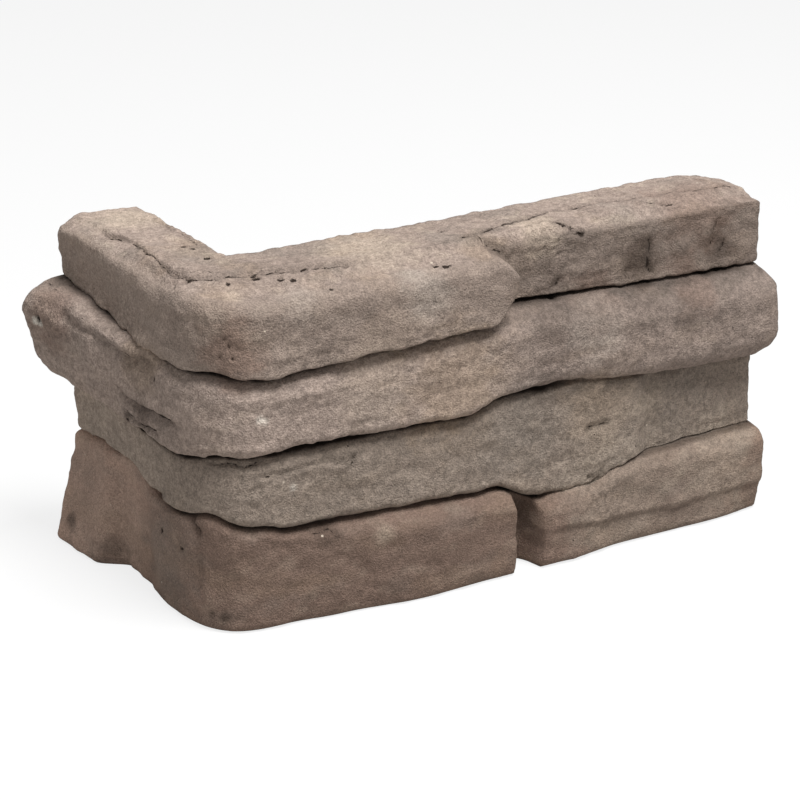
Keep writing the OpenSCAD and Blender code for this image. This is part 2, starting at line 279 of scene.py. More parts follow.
PATCHES = [
    Patch((-14.5, -31, 82), 12, Ground.RED, 0.45), Patch((122, -26, 87.5), 9, Ground.DARK, 0.75),
    Patch((151, -25.5, 86), 9, Ground.DARK, 0.6), Patch((71, -24, 94), 7, Ground.DARK, 0.35),
    Patch((53, -34.5, 62), 24, Ground.OCHRE, 0.35), Patch((27, -34.5, 65), 18, Ground.PALE, 0.15),
    Patch((135, -34.5, 70.5), 8, Ground.DARK, 0.25), Patch((125, -28, 42), 10, Ground.PALE, 0.22),
    Patch((76, -32, 43), 20, Ground.GREY, 0.35), Patch((105, -31, 44), 18, Ground.OCHRE, 0.25),
    Patch((12, -33, 25), 5, Ground.DARK, 0.35), Patch((150, -34, 17), 22, Ground.PALE, 0.3),
    Patch((112, -34, 16), 30, Ground.PALE, 0.22), Patch((-24.5, 31.5, 5), 7, Ground.DARK, 0.5),
    Patch((-28.5, 51.5, 8.5), 4, Ground.DARK, 0.7), Patch((-16.5, -27, 4.5), 2.5, Ground.DARK, 0.9),
    Patch((-19.5, -25, 5.5), 2.2, Ground.DARK, 0.7), Patch((-34, 45, 72), 14, Ground.RED, 0.4),
    Patch((-26.5, 11, 53), 3, Ground.DARK, 0.6), Patch((36, -14, 99), 18, Ground.PALE, 0.35),
    Patch((-9, 46, 100), 15, Ground.PALE, 0.4), Patch((88, -21, 100), 10, Ground.PALE, 0.35),
    Patch((145, -21, 100), 20, Ground.RED, 0.3), Patch((-26, 2, 70), 12, Ground.OCHRE, 0.3),
    Patch((29, -35, 22), 4, Ground.PALE, 0.35), Patch((128, -34, 14), 46, Ground.GREY, 0.3),
    # The dark patch at (79, -29, 14) is painted shade on the bottom bed beside the upright joint.
    Patch((-24, 35, 14), 30, Ground.GREY, 0.25), Patch((79, -29, 14), 8, Ground.DARK, 0.5),
    Patch((-22, -4, 14), 20, Ground.GREY, 0.35),
    Patch((86, -31, 53), 9, Ground.DARK, 0.3), Patch((-26.5, 3, 56), 5, Ground.DARK, 0.4),
    Patch((88, -29, 76), 11, Ground.DARK, 0.3), Patch((104, -29, 76), 12, Ground.RED, 0.35),
    Patch((121, -29, 77), 11, Ground.DARK, 0.25), Patch((140, -30, 77), 12, Ground.RED, 0.3),
    # Lime that has come out of the concrete
    Patch((-36.5, 52, 72), 1.7, Ground.LIME, 1), Patch((-36, 50, 71.5), 1.5, Ground.LIME, 1),
    Patch((-8, -33.5, 62.5), 1.6, Ground.LIME, 0.5), Patch((-6.5, -33.5, 62), 1.4, Ground.LIME, 0.4),
    Patch((2, -32.5, 41), 1.3, Ground.LIME, 0.4), Patch((103, -33.5, 69.5), 13, Ground.LIME, 0.14),
    Patch((43, -35.5, 89.5), 10, Ground.LIME, 0.13), Patch((5.5, -32, 93), 9, Ground.LIME, 0.08),
]


@dataclass(frozen=True)
class CastStone:
    """Cast concrete with iron-oxide pigment, shaped in a mould taken from split stone.

    To the eye it is a dry, matt, sandy skin without any sheen, mottled where the pigment settled.
    """

    name: str = "cast_stone"
    grain_mm: float = 0.5
    sand_mm: float = 1.6
    mottle_mm: float = 6.0
    pore_mm: float = 4.5
    speck_mm: float = 5.5
    relief_mm: float = 0.38
    roughness: float = 0.93
    specular: float = 0.2

    def build(self) -> bpy.types.Material:
        """Builds the node material.

        Returns:
            The material, which reads the attributes pigment, grime, split and sand; pigment, grime and split hold
            painted light and shade as well as colour and dirt.
        """
        material = bpy.data.materials.new(self.name)
        material.use_nodes = True
        tree = material.node_tree
        tree.nodes.clear()
        place = add_node(tree, "ShaderNodeTexCoord", {}, {}).outputs["Object"]
        pigment, grime_and_shade, split, coarse = (
            add_node(tree, "ShaderNodeAttribute", {"attribute_name": name}, {})
            for name in ("pigment", "grime_and_shade", "split", "sand")
        )
        grain = self.noise(tree, place, self.grain_mm, 1.0, 0.6)
        sand = self.noise(tree, place, self.sand_mm, 3.0, 0.6)
        mottle = self.noise(tree, place, self.mottle_mm, 4.0, 0.62)
        calm = self.scaled(tree, pigment.outputs["Color"], mottle, 0.35, 0.65, 0.95, 1.05)
        grained = self.scaled(tree, calm, grain, 0.25, 0.75, 0.72, 1.28)
        sandy = self.scaled(tree, grained, sand, 0.36, 0.64, 0.8, 1.2)
        skin_colour = self.mixed(tree, coarse.outputs["Fac"], grained, sandy)
        ragged = add_node(
            tree, "ShaderNodeMath", {"operation": "MULTIPLY_ADD", 1: 0.5, 2: -0.25}, {0: sand}
        ).outputs[0]
        wavy = add_node(tree, "ShaderNodeMath", {"operation": "MULTIPLY", 1: 0.6}, {0: ragged}).outputs[0]
        # Dark line of painted shade along the cracks and in the pits.
        line = self.ranged(tree, self.plus(tree, split.outputs["Fac"], wavy), 0.87, 0.94, 0, 1)
        # Dark of dirt and painted shade at the joints and round the pits.
        dirt_and_shade = self.ranged(tree, self.plus(tree, grime_and_shade.outputs["Fac"], ragged), 0.3, 0.8, 0, 1)
        # Dark dots of painted shade in the pores.
        pore = self.dots(tree, place, self.pore_mm, 0.10, 0.68)
        speck = self.dots(tree, place, self.speck_mm, 0.1, 0.62)
        marked = add_node(tree, "ShaderNodeMath", {"operation": "MAXIMUM"}, {0: line, 1: dirt_and_shade}).outputs[0]
        shade = add_node(tree, "ShaderNodeMath", {"operation": "MAXIMUM"}, {0: marked, 1: pore}).outputs[0]
        speckled = self.mixed(tree, speck, skin_colour, linear("#cdbfae"))
        # The dark colour #352c26 is dirt and painted shade in joints, cracks, pits and pores.
        stained_and_shaded = self.mixed(tree, shade, speckled, linear("#352c26"))
        rough_height = add_node(
            tree, "ShaderNodeMath", {"operation": "MULTIPLY_ADD"}, {0: sand, 1: coarse.outputs["Fac"], 2: grain}
        ).outputs[0]
        holes = add_node(tree, "ShaderNodeMath", {"operation": "MAXIMUM"}, {0: line, 1: pore}).outputs[0]
        height = add_node(
            tree, "ShaderNodeMath", {"operation": "MULTIPLY_ADD", 1: -1.5}, {0: holes, 2: rough_height}
        ).outputs[0]
        bump = add_node(
            tree,
            "ShaderNodeBump",
            {"Strength": 1.0, "Distance": self.relief_mm * MM},
            {"Height": height},
        )
        skin = add_node(
            tree,
            "ShaderNodeBsdfPrincipled",
            {"Roughness": self.roughness, "Specular IOR Level": self.specular},
            {"Base Color": stained_and_shaded, "Normal": bump.outputs["Normal"]},
        )
        add_node(tree, "ShaderNodeOutputMaterial", {}, {"Surface": skin.outputs["BSDF"]})
        return material

    def mixed(
        self,
        tree: bpy.types.NodeTree,
        share: bpy.types.NodeSocket,
        first: bpy.types.NodeSocket,
        second: bpy.types.NodeSocket | tuple,
    ) -> bpy.types.NodeSocket:
        """Mixes two colours.

        Args:
            tree: the material's node tree.
            share: share of the second colour.
            first: the first colour.
            second: the second colour, as a socket or as plain numbers.

        Returns:
            The mixed colour's socket.
        """
        fixed = isinstance(second, tuple)
        settings = {"data_type": "RGBA", **({7: second} if fixed else {})}
        links = {0: share, 6: first, **({} if fixed else {7: second})}
        return add_node(tree, "ShaderNodeMix", settings, links).outputs[2]

    def dots(
        self,
        tree: bpy.types.NodeTree,
        place: bpy.types.NodeSocket,
        spacing_mm: float,
        radius: float,
        skipped: float,
    ) -> bpy.types.NodeSocket:
        """Scatters small dots.

        Args:
            tree: the material's node tree.
            place: the coordinates that the pattern follows.
            spacing_mm: distance between neighbouring places for a dot.
            radius: a dot's largest radius as a share of the spacing.
            skipped: share of the places that stay empty.

        Returns:
            A socket that is 1 inside the dots and 0 elsewhere.
        """
        cells = add_node(
            tree, "ShaderNodeTexVoronoi", {"Scale": 1 / (spacing_mm * MM)}, {"Vector": place}
        ).outputs
        size = self.ranged(tree, cells["Color"], skipped, 1, 0, radius)
        inside = add_node(
            tree, "ShaderNodeMath", {"operation": "SUBTRACT"}, {0: size, 1: cells["Distance"]}
        ).outputs[0]
        return self.ranged(tree, inside, -0.01, 0.02, 0, 1)

    def plus(
        self, tree: bpy.types.NodeTree, first: bpy.types.NodeSocket, second: bpy.types.NodeSocket
    ) -> bpy.types.NodeSocket:
        """Adds two values."""
        return add_node(tree, "ShaderNodeMath", {"operation": "ADD"}, {0: first, 1: second}).outputs[0]

    def ranged(
        self,
        tree: bpy.types.NodeTree,
        value: bpy.types.NodeSocket,
        low: float,
        high: float,
        first: float,
        last: float,
    ) -> bpy.types.NodeSocket:
        """Maps a value to a range.

        Args:
            tree: the material's node tree.
            value: the value to map.
            low: value that gives the first result.
            high: value that gives the last result.
            first: result at the low end.
            last: result at the high end.

        Returns:
            The result's socket.
        """
        settings = {"From Min": low, "From Max": high, "To Min": first, "To Max": last}
        return add_node(tree, "ShaderNodeMapRange", settings, {"Value": value}).outputs["Result"]

    def noise(
        self,
        tree: bpy.types.NodeTree,
        place: bpy.types.NodeSocket,
        size_mm: float,
        detail: float,
        harshness: float,
    ) -> bpy.types.NodeSocket:
        """Adds a noise pattern.

        Args:
            tree: the material's node tree.
            place: the coordinates that it follows.
            size_mm: size of its largest lumps.
            detail: number of finer layers.
            harshness: share of each finer layer.

        Returns:
            The pattern's socket, from 0 to 1.
        """
        return add_node(
            tree,
            "ShaderNodeTexNoise",
            {"Scale": 1 / (size_mm * MM), "Detail": detail, "Roughness": harshness},
            {"Vector": place},
        ).outputs["Fac"]

    def scaled(
        self,
        tree: bpy.types.NodeTree,
        colour: bpy.types.NodeSocket,
        pattern: bpy.types.NodeSocket,
        low: float,
        high: float,
        dark: float,
        light: float,
    ) -> bpy.types.NodeSocket:
        """Multiplies a colour by a pattern.

        Args:
            tree: the material's node tree.
            colour: the colour to change.
            pattern: the pattern that changes it.
            low: pattern value that gives the darkest result.
            high: pattern value that gives the lightest result.
            dark: factor at the low end.
            light: factor at the high end.

        Returns:
            The changed colour's socket.
        """
        factor = self.ranged(tree, pattern, low, high, dark, light)
        return add_node(
            tree, "ShaderNodeVectorMath", {"operation": "SCALE"}, {0: colour, "Scale": factor}
        ).outputs[0]


@dataclass
class Skin:
    """The smooth skin of the casting, as a grid of columns by rows."""

    points: np.ndarray
    joint: np.ndarray
    depth_limit: float = 7

    def __post_init__(self) -> None:
        """Works out the skin's outward directions."""
        normals = np.cross(np.gradient(self.points, axis=0), np.gradient(self.points, axis=1))
        self.normals = normals / np.maximum(np.linalg.norm(normals, axis=-1, keepdims=True), 1e-9)

    def noise(self, size: Point, seed: float, octaves: int) -> np.ndarray:
        """Samples layered noise at every point of the grid."""
        return cloud(self.points.reshape(-1, 3), size, seed, octaves).reshape(self.joint.shape)

    def along(self, off: np.ndarray, normals: np.ndarray) -> np.ndarray:
        """Measures offsets along the skin.

        Args:
            off: offsets from a mark, which may lie a little over or under the skin.
            normals: the skin's directions at the offsets' ends.

        Returns:
            Lengths along the skin, which grow fast where the mark lies far from it.
        """
        over = np.sum(off * normals, axis=-1)
        flat = np.linalg.norm(off - over[..., None] * normals, axis=-1)
        return flat + np.maximum(np.abs(over) - self.depth_limit, 0)

    def distance(self, at: Point) -> np.ndarray:
        """Distance along the skin from every point to a mark."""
        return self.along(self.points - np.array(at), self.normals)

    def near_path(self, crack: Crack) -> tuple[np.ndarray, np.ndarray]:
        """Tells how far each point lies from a crack, and how far the skin steps there.

        Args:
            crack: the crack, whose path wanders a little.

        Returns:
            Distances in millimetres, at most the reach of the split attribute, and the steps.
        """
        path = np.array(crack.path, float)
        margin = max(3 * crack.run, SPLIT_REACH) + self.depth_limit
        inside = np.all((self.points > path.min(0) - margin) & (self.points < path.max(0) + margin), axis=-1)
        far, side = np.full(self.joint.shape, SPLIT_REACH), np.zeros(self.joint.shape)
        near, normals = self.points[inside], self.normals[inside]
        sway = np.stack([cloud(near, (5, 5, 5), seed, 2) for seed in (5.5, 15.5, 25.5)], axis=-1)
        moved = near + crack.wander * sway
        best, above = np.full(len(near), 1e9), np.zeros(len(near))
        for start, end in zip(path[:-1], path[1:]):
            way = end - start
            f = np.clip(((moved - start) @ way) / (way @ way), 0, 1)
            off = moved - start - f[:, None] * way
            length = self.along(off, normals)
            above = np.where(length < best, off[:, 2], above)
            best = np.minimum(best, length)
        far[inside] = np.minimum(best, SPLIT_REACH)
        side[inside] = crack.step * np.exp(-best / crack.run) * np.tanh(above / 0.5)
        return far, side


@dataclass
class CladdingCorner:
    """The casting: its sizes, the law of its skin and its mesh.

    Along the face, place -1 is the return's end, the corner turns between 0 and 1, and 2 is the
    long leg's end. Each list pairs such a place with millimetres, and eases between the pairs.
    """

    long_leg: float = 169
    return_leg: float = 60
    long_thick: float = 34
    return_thick: float = 24
    corner_square: float = 3
    bed_heights: tuple[float, ...] = (28, 23, 24, 27)
    long_joint: float = 6.5
    return_joint: float = 4
    upright_joint: float = 76
    upright_gap: float = 4.5
    upright_depth: float = 10
    top_step: float = 9
    step_ease: float = 3
    step_bow: float = 7
    bow_power: float = 2.5
    warp: float = 0.5
    warp_size: float = 7
    foot_round: float = 2.5
    brow_round: float = 5
    brow_height: float = 1.4
    top_crack: float = 0.9
    crack_slope: float = 1.2
    end_rounds: tuple[float, ...] = (2.5, 2.5, 6, 2.5)
    end_reach: tuple[float, ...] = (-0.5, -1, 2.5, -0.5)
    joint_end_reach: float = -1.5
    end_zone: float = 8
    return_columns: int = 78
    corner_columns: int = 70
    long_columns: int = 222
    cap_columns: int = 9
    cap_relief: float = 0.4
    core_edge: float = 2
    core_depth: float = 8
    plain_colour: str = "#8f857b"
    plain_sand: float = 0.6
    bed_rows: int = 40
    top_rows: int = 42
    back_rows: int = 8
    foot_rows: int = 8
    edge_bunching: float = 0.75
    bed_colours: tuple[str, ...] = ("#867165", "#988a7e", "#9d8d83", "#9b8b80", "#a59489")
    bed_sand: tuple[float, ...] = (0.4, 0.95, 1.0, 0.6, 1.0)
    bed_mottle: tuple[float, ...] = (1.0, 0.6, 0.65, 0.6, 2.0)
    # Brightness factors along the face for each bed and the top: partly the stone's own tone, partly painted light and
    # shade, chiefly lightening the return faces.
    bed_tones_and_painted_light: list[Pairs] = field(
        default_factory=lambda: [
            [(-1, 2.1), (-0.4, 2.1), (-0.1, 1.4), (0.2, 1.08), (0.5, 0.95), (1, 0.85), (1.43, 0.85), (1.46, 0.85), (2, 0.9)],
            [(-1, 1.28), (-0.2, 1.2), (0.2, 1), (1, 0.87), (2, 0.87)],
            [(-1, 1.13), (-0.2, 1.16), (0, 1.1), (1, 1.08), (1.35, 1.05), (1.5, 0.85), (2, 0.85)],
            [(-1, 1.06), (-0.3, 1.04), (0, 0.98), (1, 0.86), (1.4, 0.86), (1.46, 0.66), (2, 0.7)],
            [(-1, 1), (0, 0.95), (0.6, 0.84), (1.4, 0.84), (1.5, 0.9), (2, 0.9)],
        ]
    )
    joint_rises: list[Pairs] = field(
        default_factory=lambda: [
            [(-1, 6.5), (-0.6, 7.5), (-0.35, 8), (-0.1, 5), (0.1, 2.8), (0.45, 5.8), (0.8, 2.4), (1.1, -0.2),
             (1.4, -1.5), (1.5, -7), (1.6, -6.5), (1.67, -3.5), (1.72, -1.6), (1.9, -0.8), (2, -0.8)],
            [(-1, 1.8), (-0.5, 1), (-0.1, -1.5), (0.2, -2), (0.5, 0.5), (0.8, 0), (1.25, 0), (1.34, -0.8),
             (1.42, 3), (1.56, 3.5), (1.7, 1), (1.86, -1), (2, -1)],
            [(-1, 7.5), (-0.65, 6.4), (-0.4, 3.6), (0, 1.2), (0.3, -0.3), (0.5, 0.3), (0.9, -2.4), (1.05, -1.6),
             (1.2, 0.2), (1.38, 1.5), (1.44, 5.2), (1.6, 4.3), (1.75, 3.5), (2, 3.3)],
        ]
    )
    top_rise: Pairs = field(
        default_factory=lambda: [
            (-1, -2), (-0.3, -2.7), (0, -3.3), (1, -3.3), (1.3, -2.8), (1.6, -1.5), (1.92, 0), (2, -1.5),
        ]
    )
    brow_fall: Pairs = field(
        default_factory=lambda: [
            (-1, 2.5), (-0.7, 2.3), (-0.3, 3), (0, 3.5), (1, 4), (1.35, 4), (1.5, 3), (1.9, 4), (2, 2.5),
        ]
    )
    bed_faces: list[Pairs] = field(
        default_factory=lambda: [
            [(-1, 2.5), (-0.6, 2), (-0.45, -3), (-0.2, -2.5), (0, -0.5), (1, -1.5), (1.1, 0.5), (1.25, 3.5),
             (1.4, 2.5), (1.55, 2.5), (1.68, 0), (1.85, 0), (2, -1)],
            [(-1, -1.5), (0, -1), (1, -1.5), (1.3, -1), (1.7, -2.5), (1.76, -6.5), (2, -8.5)],
            [(-1, 13), (-0.75, 10), (-0.5, 7), (-0.25, 4), (0, 2), (1, 0), (1.2, 0.5), (1.6, -0.5),
             (1.9, 0.5), (2, 1.5)],
            [(-1, 1), (-0.5, 0), (0, 0.5), (1, 0), (1.2, 1.5), (2, 0.5)],
        ]
    )
    bed_leans: list[Pairs] = field(
        default_factory=lambda: [
            [(-1, 9), (-0.6, 6), (-0.45, 0), (1.5, 0), (1.9, 0), (2, -3)],
            [(-1, -1), (0, 0), (2, 1)],
            [(-1, -8), (-0.5, -4), (0, 0), (2, 0)],
            [(-1, -2), (0, 1), (2, 0)],
        ]
    )
    brow_share: Pairs = field(
        default_factory=lambda: [(-1, 0.5), (-0.8, 0.3), (-0.6, 0.35), (0, 0.7), (1, 0.75), (1.35, 0.7), (1.42, 0.5), (1.46, 0.14), (2, 0.16)]
    )
    joint_sinks: list[Pairs] = field(
        default_factory=lambda: [
            [(-1, 1), (0, 0.5), (1, 0), (1.5, 0), (2, 3.5)],
            [(-1, -2.5), (-0.5, -1.5), (0, -0.5), (1, 0), (1.5, 0.5), (2, 4.5)],
            [(-1, 0), (0, 0), (1, 0.5), (1.38, 0.5), (1.46, 5), (2, 6.5)],
        ]
    )
    lower_rounds: list[Pairs] = field(
        default_factory=lambda: [
            [(-1, 1), (2, 1)],
            [(-1, 0.6), (0, 0.5), (1.5, 0.5), (1.6, 1.3), (1.7, 0.3), (2, 0.3)],
            [(-1, 0.9), (-0.5, 0.6), (0, 0.4), (1.45, 0.4), (1.6, 0.95), (2, 0.95)],
            [(-1, 0.15), (2, 0.15)],
        ]
    )
    upper_rounds: list[Pairs] = field(
        default_factory=lambda: [
            [(-1, 0.6), (1.48, 0.6), (1.6, 1.3), (1.7, 0.8), (2, 0.8)],
            [(-1, 0.9), (1.5, 0.9), (1.6, 0.3), (2, 0.3)],
            [(-1, 0.5), (-0.3, 0.85), (0, 0.95), (1.4, 0.95), (1.5, 0.8), (2, 0.7)],
        ]
    )
    slot_depths: list[Pairs] = field(
        default_factory=lambda: [
            [(-1, 0), (-0.1, 0.3), (0.1, 1), (0.4, 1.6), (0.6, 0.9), (1, 1.6), (1.15, 0.8), (1.35, 0.8), (1.45, 3), (1.53, 0), (1.63, 0), (1.7, 1.1), (2, 1)],
            [(-1, 0), (-0.5, 0), (0, 2.5), (1.2, 2), (1.35, 2.5), (1.5, 3), (1.6, 0), (2, 0)],
            [(-1, 1), (-0.6, 2), (0, 3.5), (1, 3), (1.35, 2), (1.45, 5), (1.52, 4.5), (1.6, 3), (1.7, 3),
             (1.74, 5), (1.78, 2), (1.83, 2), (1.87, 5), (1.93, 5), (1.97, 2.5), (2, 2.5)],
        ]
    )
    joint_fills: list[Pairs] = field(
        default_factory=lambda: [
            [(-1, 0), (1.49, 0), (1.56, 4), (1.64, 4), (1.72, 2.5), (2, 2)],
            [(-1, 2), (-0.3, 1), (0, 0), (1.52, 0), (1.63, 3.5), (2, 3.5)],
            [(-1, 0), (2, 0)],
        ]
    )
    # How dark each joint line is along the face: partly dirt, partly painted shade in the crevice under the bed above.
    joint_dirt_and_shade: list[Pairs] = field(
        default_factory=lambda: [
            [(-1, 0.1), (0, 0.3), (0.2, 0.8), (0.4, 0.5), (0.7, 0.8), (1, 0.7), (1.15, 0.4), (1.38, 0.4), (1.45, 1), (1.48, 1), (1.54, 0.1), (1.64, 0.1), (1.7, 0.6), (2, 0.6)],
            [(-1, 0), (-0.45, 0.2), (-0.1, 0.9), (0.2, 1), (1.5, 1), (1.6, 0.1), (2, 0)],
            [(-1, 0.8), (0, 1), (1, 1), (1.45, 1), (1.52, 0.9), (1.6, 0.5), (1.7, 0.5), (1.74, 1), (1.78, 0.35),
             (1.83, 0.35), (1.87, 1), (1.93, 1), (1.97, 0.4), (2, 0.4)],
        ]
    )
    # Painted shadow, partly dirt, that darkens each lower bed for a few millimetres under the joint above it.
    soft_shadow_and_dirt: list[Pairs] = field(
        default_factory=lambda: [
            [(-1, 0.05), (0, 0.1), (1, 0.1), (1.5, 0.15), (2, 0.05)],
            [(-1, 0.05), (0, 0.1), (0.3, 0.2), (1, 0.1), (1.48, 0.15), (1.6, 0.5), (1.75, 0.45), (1.85, 0.2), (2, 0.15)],
            [(-1, 0.2), (-0.2, 0.15), (0.3, 0.35), (0.8, 0.1), (1.4, 0.15), (1.46, 0.6), (2, 0.6)],
        ]
    )
    slot_end_zone: float = 4
    pit_core: float = 0.4
    # Strength of the painted shade, with dirt, that darkens each pit.
    pit_shade_and_dirt: float = 0.25
    crack_dirt: float = 0.3
    # Reach of the painted shadow under each joint.
    soft_shadow_reach: float = 5
    top_end_drop: float = 1.8
    top_end_round: float = 2.4
    step_share: Pairs = field(
        default_factory=lambda: [
            (-1, 0.8), (-0.5, 0.72), (0, 0.75), (0.5, 0.5), (0.9, 0.45), (1.2, 0.62), (1.5, 0.72), (2, 0.5),
        ]
    )

    @property
    def height(self) -> float:
        """Height of the four beds together."""
        return sum(self.bed_heights)

    def corner_way(self, w: np.ndarray) -> np.ndarray:
        """Gives the direction from the wall's corner edge to places on the outer corner.

        Args:
            w: places from 0 to 1.

        Returns:
            Unit vectors in plan, one a row.
        """
        first = w < 0.5
        x = np.where(first, -self.return_thick, -2 * (1 - w) * self.return_thick)
        y = np.where(first, -2 * w * self.long_thick, -self.long_thick)
        way = np.stack([x, y], axis=-1)
        return way / np.linalg.norm(way, axis=-1, keepdims=True)

    def reach(self, pairs: Pairs, w: np.ndarray) -> np.ndarray:
        """Gives the distance from the backs to a surface that stands off each leg by its thickness.

        Args:
            pairs: what is added to the thickness at each place.
            w: places along the face.

        Returns:
            Distances from the backs.
        """
        way = self.corner_way(np.clip(w, 0, 1))
        a = np.abs(way[..., 0]) / (self.return_thick + eased(pairs, np.zeros(1))[0])
        b = np.abs(way[..., 1]) / (self.long_thick + eased(pairs, np.ones(1))[0])
        turn = (a**self.corner_square + b**self.corner_square) ** (-1 / self.corner_square)
        leg = np.where(w <= 0, self.return_thick, self.long_thick) + eased(pairs, w)
        return np.where((w > 0) & (w < 1), turn, leg)

    def at(self, w: np.ndarray, t: np.ndarray, z: np.ndarray, e: np.ndarray) -> np.ndarray:
        """Places points on the casting.

        Args:
            w: places along the face.
            t: distances out from the backs.
            z: heights.
            e: how far the leg's end is carried on.

        Returns:
            Points, with X, Y and Z last.
        """
        w, t, z, e = np.broadcast_arrays(w, t, z, e)
        way = self.corner_way(np.clip(w, 0, 1))
        back = smooth(-w * self.return_leg, self.return_leg - self.end_zone, self.return_leg)
        along = smooth((w - 1) * self.long_leg, self.long_leg - self.end_zone, self.long_leg)
        x = np.where(w <= 0, -t, np.where(w >= 1, (w - 1) * self.long_leg + e * along, way[..., 0] * t))
        y = np.where(w <= 0, -w * self.return_leg + e * back, np.where(w >= 1, -t, way[..., 1] * t))
        return np.stack([x, y, z], axis=-1)

    def joint_z(self, bed: int, w: np.ndarray) -> np.ndarray:
        """Height of the joint under a bed."""
        foot = sum(self.bed_heights[:bed])
        return np.zeros_like(w) if bed == 0 else foot + eased(self.joint_rises[bed - 1], w)

    def top_z(self, w: np.ndarray) -> np.ndarray:
        """Height of the top at each place, which rounds off to the two ends."""
        to_end = np.minimum((1 + w) * self.return_leg, (2 - w) * self.long_leg)
        return self.height + eased(self.top_rise, w) - self.top_end_drop * round_off(to_end, self.top_end_round)

    def brow_z(self, w: np.ndarray) -> np.ndarray:
        """Height of the top's front edge at each place."""
        return self.top_z(w) - eased(self.brow_fall, w)

    def along_leg(self, w: np.ndarray) -> np.ndarray:
        """Distance of each place along the long leg from the wall's corner edge."""
        return (w - 1) * self.long_leg

    def upright_cut(self, w: np.ndarray) -> np.ndarray:
        """Depth that the upright joint takes from the bottom bed."""
        off = np.abs(self.along_leg(w) - self.upright_joint - self.upright_gap / 2)
        share = 1 - round_off(np.maximum(0, self.upright_gap - off), self.upright_gap)
        return np.where(w > 1, self.upright_depth * share, 0)

    def step_cut(self, w: np.ndarray, v: np.ndarray) -> np.ndarray:
        """Depth by which the top bed steps back past its upright joint."""
        start = self.upright_joint - self.step_ease - self.step_bow * np.abs(2 * v - 1) ** self.bow_power
        f = smooth(self.along_leg(w) - start, 0, self.step_ease)
        return np.where(w > 1, self.top_step * f, 0)

    def bed_reach(self, bed: int, w: np.ndarray, v: np.ndarray) -> np.ndarray:
        """Distance of a bed's face from the backs, before its edges round off."""
        out = self.reach(self.bed_faces[bed], w) + eased(self.bed_leans[bed], w) * (0.5 - v)
        if bed == 0:
            out = out - self.upright_cut(w)
        if bed == len(self.bed_heights) - 1:
            out = out - self.step_cut(w, v)
        return out

    def joint_reach(self, bed: int, w: np.ndarray) -> np.ndarray:
        """Distance of the floor of the joint under a bed from the backs."""
        floor = [
            (place, -sink - (self.return_joint if place <= 0 else self.long_joint))
            for place, sink in self.joint_sinks[bed - 1]
        ]
        return self.reach(floor, w) + eased(self.joint_fills[bed - 1], w)

    def end_loss(self, bed: int, w: np.ndarray) -> np.ndarray:
        """Depth that a bed's face loses where it rounds off to the two ends."""
        far = max(self.end_rounds)
        d = np.where(w < 0, (1 + w) * self.return_leg, np.where(w > 1, (2 - w) * self.long_leg, far))
        return self.end_rounds[bed] * round_off(d, self.end_rounds[bed])

    def brow(self, w: np.ndarray) -> np.ndarray:
        """Rounding of the top's front edge at each place."""
        return self.brow_round * eased(self.brow_share, w)

    def bed_skin(self, bed: int, w: np.ndarray, v: np.ndarray) -> tuple[np.ndarray, np.ndarray]:
        """Works out the face of one bed.

        Args:
            bed: number of the bed, from the bottom.
            w: places along the face, one a column.
            v: height shares in the bed, one a row.

        Returns:
            Points as columns by rows, and the share of each point's depth lost to a joint.
        """
        top_bed = bed == len(self.bed_heights) - 1
        w, v = np.meshgrid(w, v, indexing="ij")
        low = self.joint_z(bed, w)
        high = self.brow_z(w) if top_bed else self.joint_z(bed + 1, w)
        out = self.bed_reach(bed, w, v)
        low_loss = np.full_like(out, self.foot_round) if bed == 0 else out - self.joint_reach(bed, w)
        high_loss = self.brow(w) if top_bed else out - self.joint_reach(bed + 1, w)
        low_length = low_loss if bed == 0 else np.maximum(0.8, eased(self.lower_rounds[bed], w) * low_loss)
        high_share = self.brow_height if top_bed else eased(self.upper_rounds[bed], w)
        high_length = np.maximum(0.8, high_share * high_loss)
        lower = round_off(v * (high - low), low_length)
        upper = round_off((1 - v) * (high - low), high_length)
        loss = low_loss * lower + high_loss * upper
        to_end = np.minimum((1 + w) * self.return_leg, (2 - w) * self.long_leg)
        inner = smooth(to_end, 0, self.slot_end_zone)
        if bed > 0:
            loss = loss + eased(self.slot_depths[bed - 1], w) * smooth(lower, 0.7, 1.0) * inner
        if not top_bed:
            loss = loss + eased(self.slot_depths[bed], w) * smooth(upper, 0.55, 1.0) * inner
        joint = np.maximum(0 * lower if bed == 0 else lower, 0 * upper if top_bed else upper)
        end = self.end_reach[bed] + (self.joint_end_reach - self.end_reach[bed]) * joint
        points = self.at(w, out - loss - self.end_loss(bed, w), low + v * (high - low), end)
        return points, joint

    def top_skin(self, w: np.ndarray) -> np.ndarray:
        """Works out the top, from its front edge to the backs.

        Args:
            w: places along the face.

        Returns:
            Points as columns by rows.
        """
        last = len(self.bed_heights) - 1
        edge = self.bed_reach(last, w, np.ones_like(w)) - self.brow(w) - self.end_loss(last, w)
        step = np.minimum(edge - 2, eased(self.step_share, w) * self.reach(self.bed_faces[last], w))
        share = np.linspace(0, 1, self.top_rows + 1)[1:]
        w, share = np.meshgrid(w, share, indexing="ij")
        edge, step = edge[:, None], step[:, None]
        t = edge * (1 - share)
        climb = smooth(step + self.crack_slope / 2 - t, 0, self.crack_slope)
        fall = eased(self.brow_fall, w) * smooth((t - step) / np.maximum(edge - step, 1), 0, 1.25) * 1.1
        crack = self.top_crack * (1 - climb) * smooth(edge - t, 0, 4)
        z = self.top_z(w) - crack - np.minimum(fall, eased(self.brow_fall, w))
        return self.at(w, t, z, np.full_like(t, self.end_reach[last]))

    def columns(self) -> np.ndarray:
        """Places of the grid's columns, evenly spaced along each stretch of the face."""
        return np.concatenate(
            [
                np.linspace(-1, 0, self.return_columns, endpoint=False),
                np.linspace(0, 1, self.corner_columns, endpoint=False),
                np.linspace(1, 2, self.long_columns + 1),
            ]
        )

